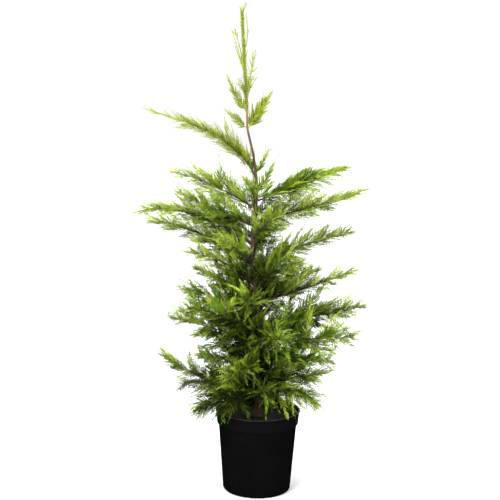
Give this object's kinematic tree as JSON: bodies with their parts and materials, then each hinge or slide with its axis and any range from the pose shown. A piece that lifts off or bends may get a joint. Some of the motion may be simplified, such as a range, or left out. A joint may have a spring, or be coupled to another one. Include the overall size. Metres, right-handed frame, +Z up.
{
  "type": "potted leyland cypress",
  "caption": "Young leyland cypress with feathery sprays on rising boughs, grown in a plain round black nursery pot.",
  "frame": {"origin": "middle of the pot's flat underside", "axes": "+Z up along the pot's axis, -Y towards the viewer of the picture, +X to the viewer's right"},
  "size_m": [0.7938, 0.5769, 1.609],
  "materials": {
    "black_moulded_plastic": "satin moulded",
    "dark_compost": "rough, crumbly",
    "young_bark": "matt bark",
    "scale_leaf_green": "soft, slightly glossy"
  },
  "bodies": {
    "root": {"bough_left_arm": "young_bark", "bough_left_arm_low": "young_bark", "bough_low_left_upturned": "young_bark", "bough_right_arm": "young_bark", "bough_right_arm_low": "young_bark", "bough_right_hip": "young_bark", "bough_right_shoulder": "young_bark", "bough_right_whip": "young_bark", "bough_upper_left": "young_bark", "compost": "dark_compost", "foliage_back_chest": "scale_leaf_green", "foliage_back_foot": "scale_leaf_green", "foliage_back_high": "scale_leaf_green", "foliage_back_shoulder": "scale_leaf_green", "foliage_back_skirt": "scale_leaf_green", "foliage_back_waist": "scale_leaf_green", "foliage_front_chest": "scale_leaf_green", "foliage_front_foot": "scale_leaf_green", "foliage_front_high": "scale_leaf_green", "foliage_front_hip": "scale_leaf_green", "foliage_front_shoulder": "scale_leaf_green", "foliage_front_skirt": "scale_leaf_green", "foliage_front_waist": "scale_leaf_green", "foliage_inner_upright": "scale_leaf_green", "foliage_knee_spray": "scale_leaf_green", "foliage_leader_left_twig": "scale_leaf_green", "foliage_leader_right_twig": "scale_leaf_green", "foliage_leader_tip": "scale_leaf_green", "foliage_left_arm": "scale_leaf_green", "foliage_left_arm_low": "scale_leaf_green", "foliage_left_fan": "scale_leaf_green", "foliage_left_fan_front": "scale_leaf_green", "foliage_left_hip": "scale_leaf_green", "foliage_left_hip_front": "scale_leaf_green", "foliage_left_low_back": "scale_leaf_green", "foliage_left_shoulder": "scale_leaf_green", "foliage_left_shoulder_front": "scale_leaf_green", "foliage_left_waist": "scale_leaf_green", "foliage_low_left_dark": "scale_leaf_green", "foliage_low_left_drooping": "scale_leaf_green", "foliage_low_left_upturned": "scale_leaf_green", "foliage_low_right": "scale_leaf_green", "foliage_low_right_front": "scale_leaf_green", "foliage_right_arm": "scale_leaf_green", "foliage_right_arm_low": "scale_leaf_green", "foliage_right_fan_front": "scale_leaf_green", "foliage_right_hip": "scale_leaf_green", "foliage_right_hip_back": "scale_leaf_green", "foliage_right_shoulder": "scale_leaf_green", "foliage_right_skirt_back": "scale_leaf_green", "foliage_right_skirt_front": "scale_leaf_green", "foliage_right_stub": "scale_leaf_green", "foliage_right_whip": "scale_leaf_green", "foliage_top_left_low_spray": "scale_leaf_green", "foliage_top_left_spray": "scale_leaf_green", "foliage_top_right_spray": "scale_leaf_green", "foliage_upper_left": "scale_leaf_green", "pot": "black_moulded_plastic", "trunk": "young_bark"}
  },
  "joints": []
}
